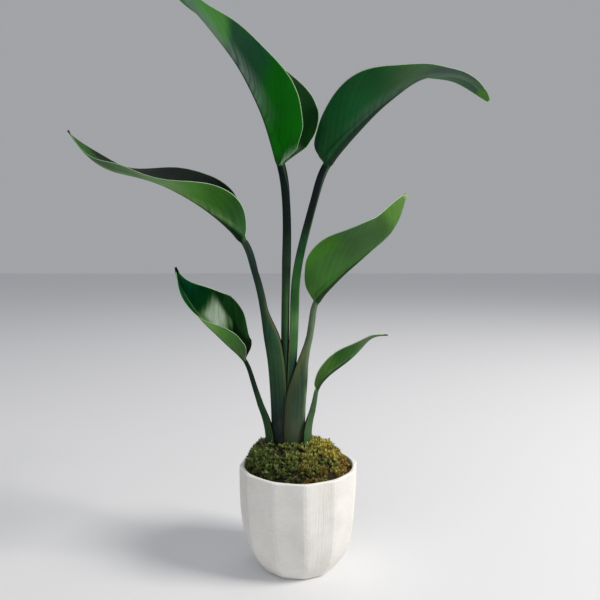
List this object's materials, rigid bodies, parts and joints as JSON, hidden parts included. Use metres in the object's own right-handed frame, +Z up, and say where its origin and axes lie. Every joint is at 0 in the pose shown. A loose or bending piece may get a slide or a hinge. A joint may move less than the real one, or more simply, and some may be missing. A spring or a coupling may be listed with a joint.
{
  "type": "potted bird of paradise",
  "caption": "Young bird of paradise with broad paddle leaves fanning from one flat stem, set in moss in a faceted off-white ceramic pot.",
  "frame": {"origin": "centre of the pot's flat underside", "axes": "+Z up; the leaves fan out along X, and -Y is the front that the picture shows"},
  "size_m": [0.5138, 0.1492, 0.7299],
  "materials": {
    "ceramic": "matte",
    "potting_mix": "matte",
    "moss": "matte",
    "root": "matte",
    "dark_leaf": "satin",
    "light_leaf": "satin"
  },
  "bodies": {
    "root": {"pot": "ceramic", "potting_mix": "potting_mix", "moss_bed": "moss", "rootstock": "root", "leaf_top_left": "dark_leaf", "leaf_top_right": "dark_leaf", "leaf_upper_left": "light_leaf", "leaf_middle_right": "light_leaf", "leaf_lower_left": "dark_leaf", "leaf_lower_right": "light_leaf"}
  },
  "joints": []
}
